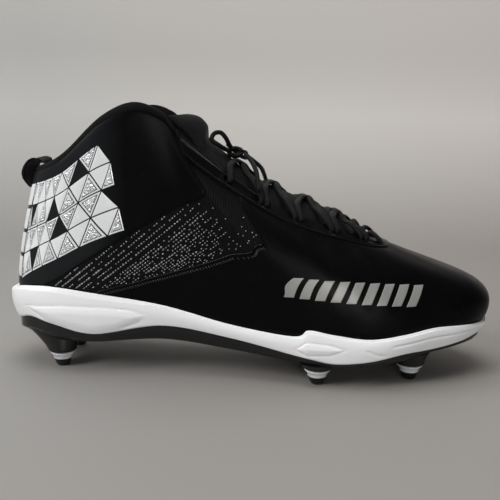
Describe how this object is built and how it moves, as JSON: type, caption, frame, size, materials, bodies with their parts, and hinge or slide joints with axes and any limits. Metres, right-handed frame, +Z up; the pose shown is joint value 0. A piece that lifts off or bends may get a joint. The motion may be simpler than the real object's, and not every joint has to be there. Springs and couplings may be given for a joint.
{
  "type": "american football cleat",
  "caption": "Mid-height right football cleat with a hollow laced upper, padded tongue, stepped sole and screw-in studs, open at the collar for a foot.",
  "frame": {"origin": "on the ground below the middle of the sole's length and width", "axes": "+X towards the toe, +Y towards the medial side, +Z up"},
  "size_m": [0.2978, 0.098, 0.1581],
  "materials": {
    "upper mesh": "satin",
    "white sole": "satin",
    "black plate": "gloss",
    "insole fabric": "matte",
    "tongue fabric": "matte",
    "black film": "satin",
    "charcoal film": "satin",
    "lining fabric": "matte",
    "webbing": "matte",
    "lace": "matte",
    "stud": "gloss"
  },
  "bodies": {
    "root": {"upper": "upper mesh", "midsole": "white sole", "outsole": "black plate", "insole": "insole fabric", "tongue": "tongue fabric", "eyestay": "black film", "vamp_film": "black film", "heel_counter": "charcoal film", "collar_lining": "lining fabric", "pull_tab": "webbing", "lace_crossing_1": "lace", "lace_crossing_2": "lace", "lace_crossing_3": "lace", "lace_crossing_4": "lace", "lace_crossing_5": "lace", "lace_knot": "lace", "lace_loop_lateral": "lace", "lace_loop_medial": "lace", "lace_end_lateral": "lace", "lace_end_medial": "lace", "stud_heel_lateral": "stud", "stud_heel_medial": "stud", "stud_ball_lateral": "stud", "stud_ball_medial": "stud", "stud_front_lateral": "stud", "stud_front_medial": "stud"}
  },
  "joints": []
}
